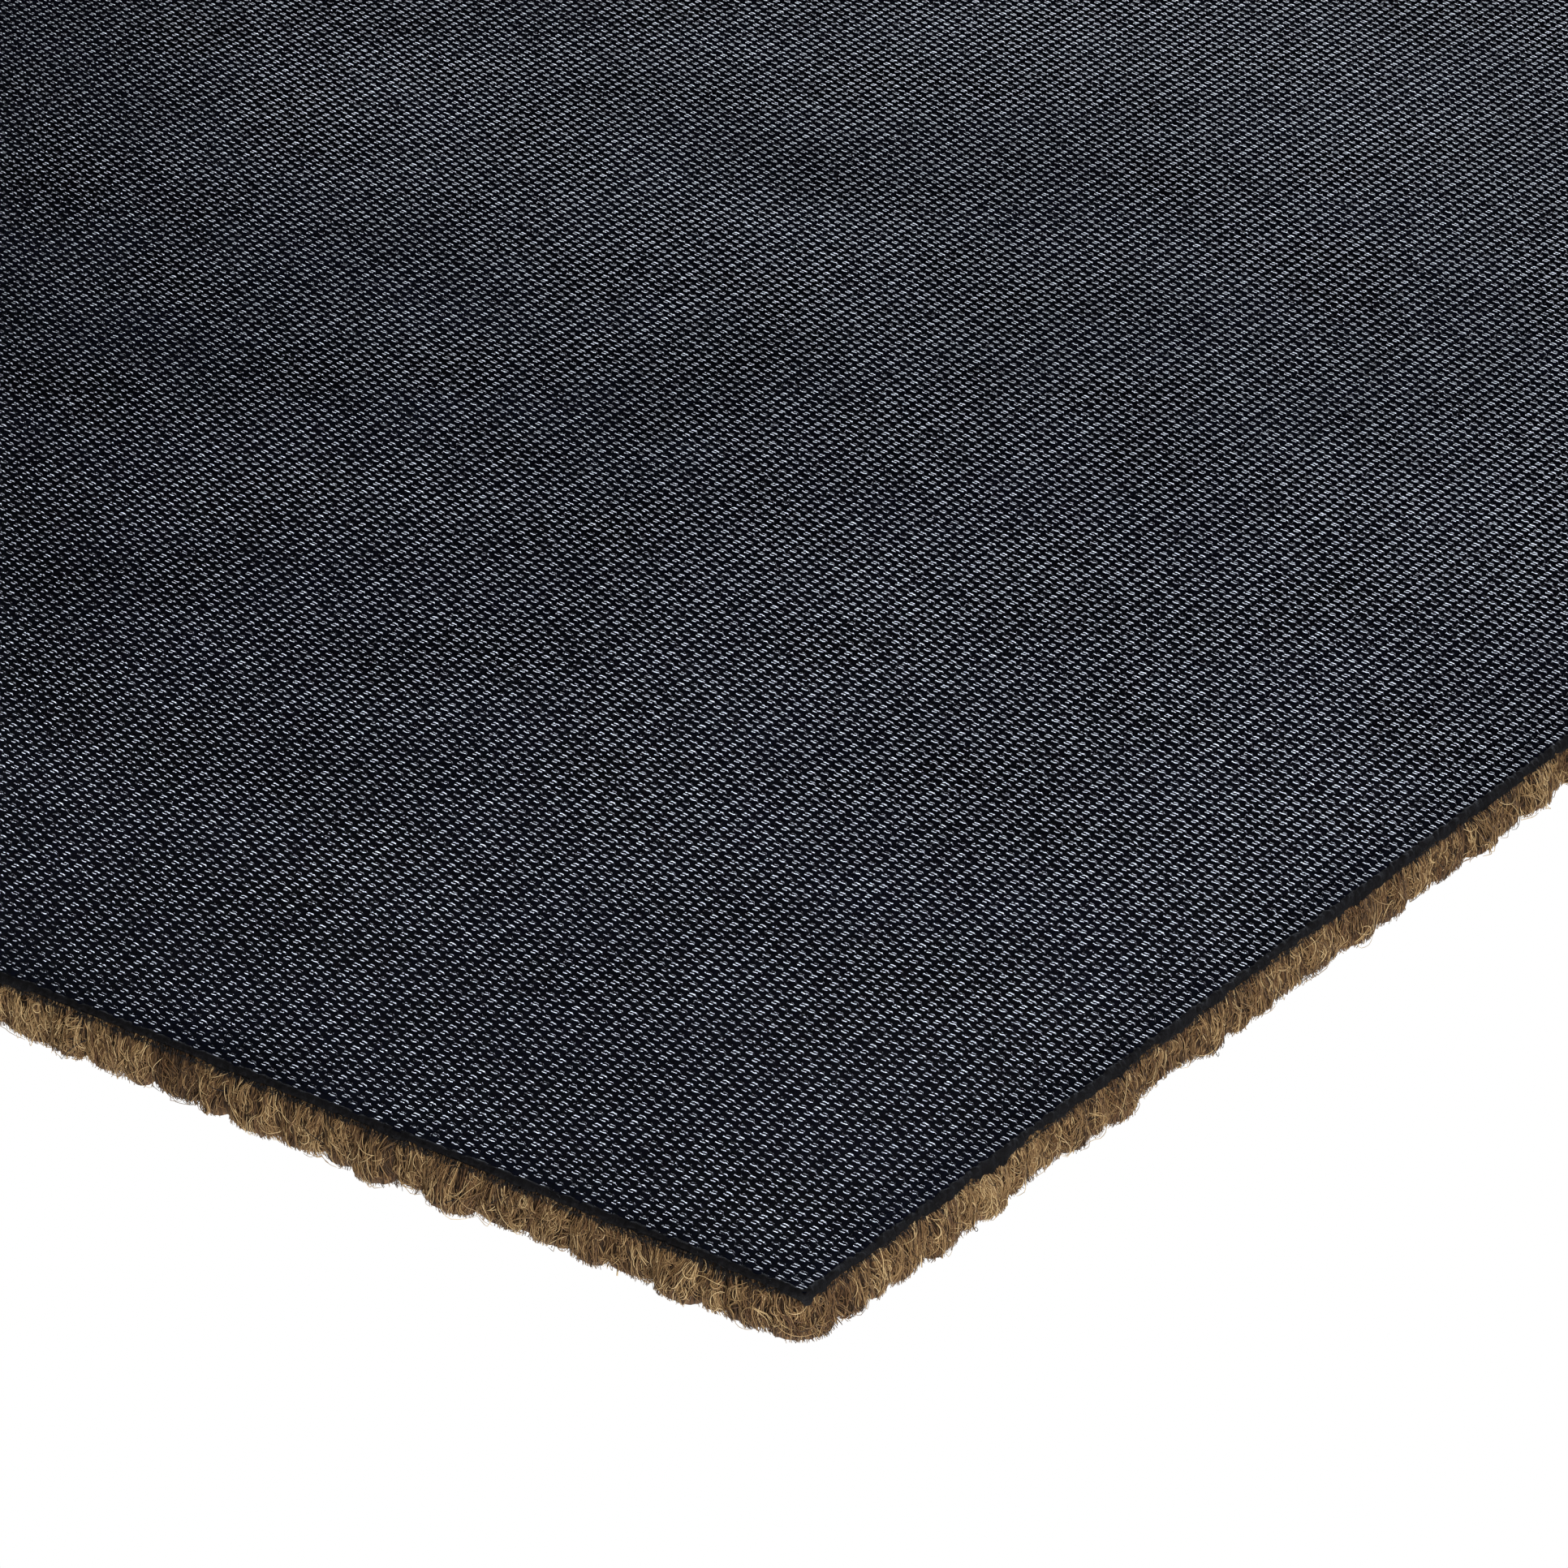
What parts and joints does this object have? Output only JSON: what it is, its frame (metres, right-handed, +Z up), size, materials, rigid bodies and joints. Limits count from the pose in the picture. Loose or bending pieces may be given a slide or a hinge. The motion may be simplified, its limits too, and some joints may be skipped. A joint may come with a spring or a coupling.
{
  "type": "door mat",
  "caption": "Rectangular doormat of cut coir pile pressed in rows into a cast vinyl backing with a flat, lightly embossed underside.",
  "frame": {"origin": "centre of the vinyl backing's underside, which is the plane the mat lies on", "axes": "+Z up out of the pile, +Y along the long side and the tuft rows, +X along the short side, across the rows"},
  "size_m": [0.6, 0.9, 0.015],
  "materials": {
    "vinyl_backing": "cast black vinyl with a faint navy cast, semi-gloss, underside embossed with small round pips",
    "coir_pile": "cut coir fibre, matt, light tan to dark brown"
  },
  "bodies": {
    "root": {"vinyl_backing": "vinyl_backing", "coir_row_01": "coir_pile", "coir_row_02": "coir_pile", "coir_row_03": "coir_pile", "coir_row_04": "coir_pile", "coir_row_05": "coir_pile", "coir_row_06": "coir_pile", "coir_row_07": "coir_pile", "coir_row_08": "coir_pile", "coir_row_09": "coir_pile", "coir_row_10": "coir_pile", "coir_row_11": "coir_pile", "coir_row_12": "coir_pile", "coir_row_13": "coir_pile", "coir_row_14": "coir_pile", "coir_row_15": "coir_pile", "coir_row_16": "coir_pile", "coir_row_17": "coir_pile", "coir_row_18": "coir_pile", "coir_row_19": "coir_pile", "coir_row_20": "coir_pile", "coir_row_21": "coir_pile", "coir_row_22": "coir_pile", "coir_row_23": "coir_pile", "coir_row_24": "coir_pile", "coir_row_25": "coir_pile", "coir_row_26": "coir_pile", "coir_row_27": "coir_pile", "coir_row_28": "coir_pile", "coir_row_29": "coir_pile", "coir_row_30": "coir_pile", "coir_row_31": "coir_pile", "coir_row_32": "coir_pile", "coir_row_33": "coir_pile", "coir_row_34": "coir_pile", "coir_row_35": "coir_pile", "coir_row_36": "coir_pile", "coir_row_37": "coir_pile", "coir_row_38": "coir_pile", "coir_row_39": "coir_pile", "coir_row_40": "coir_pile"}
  },
  "joints": []
}
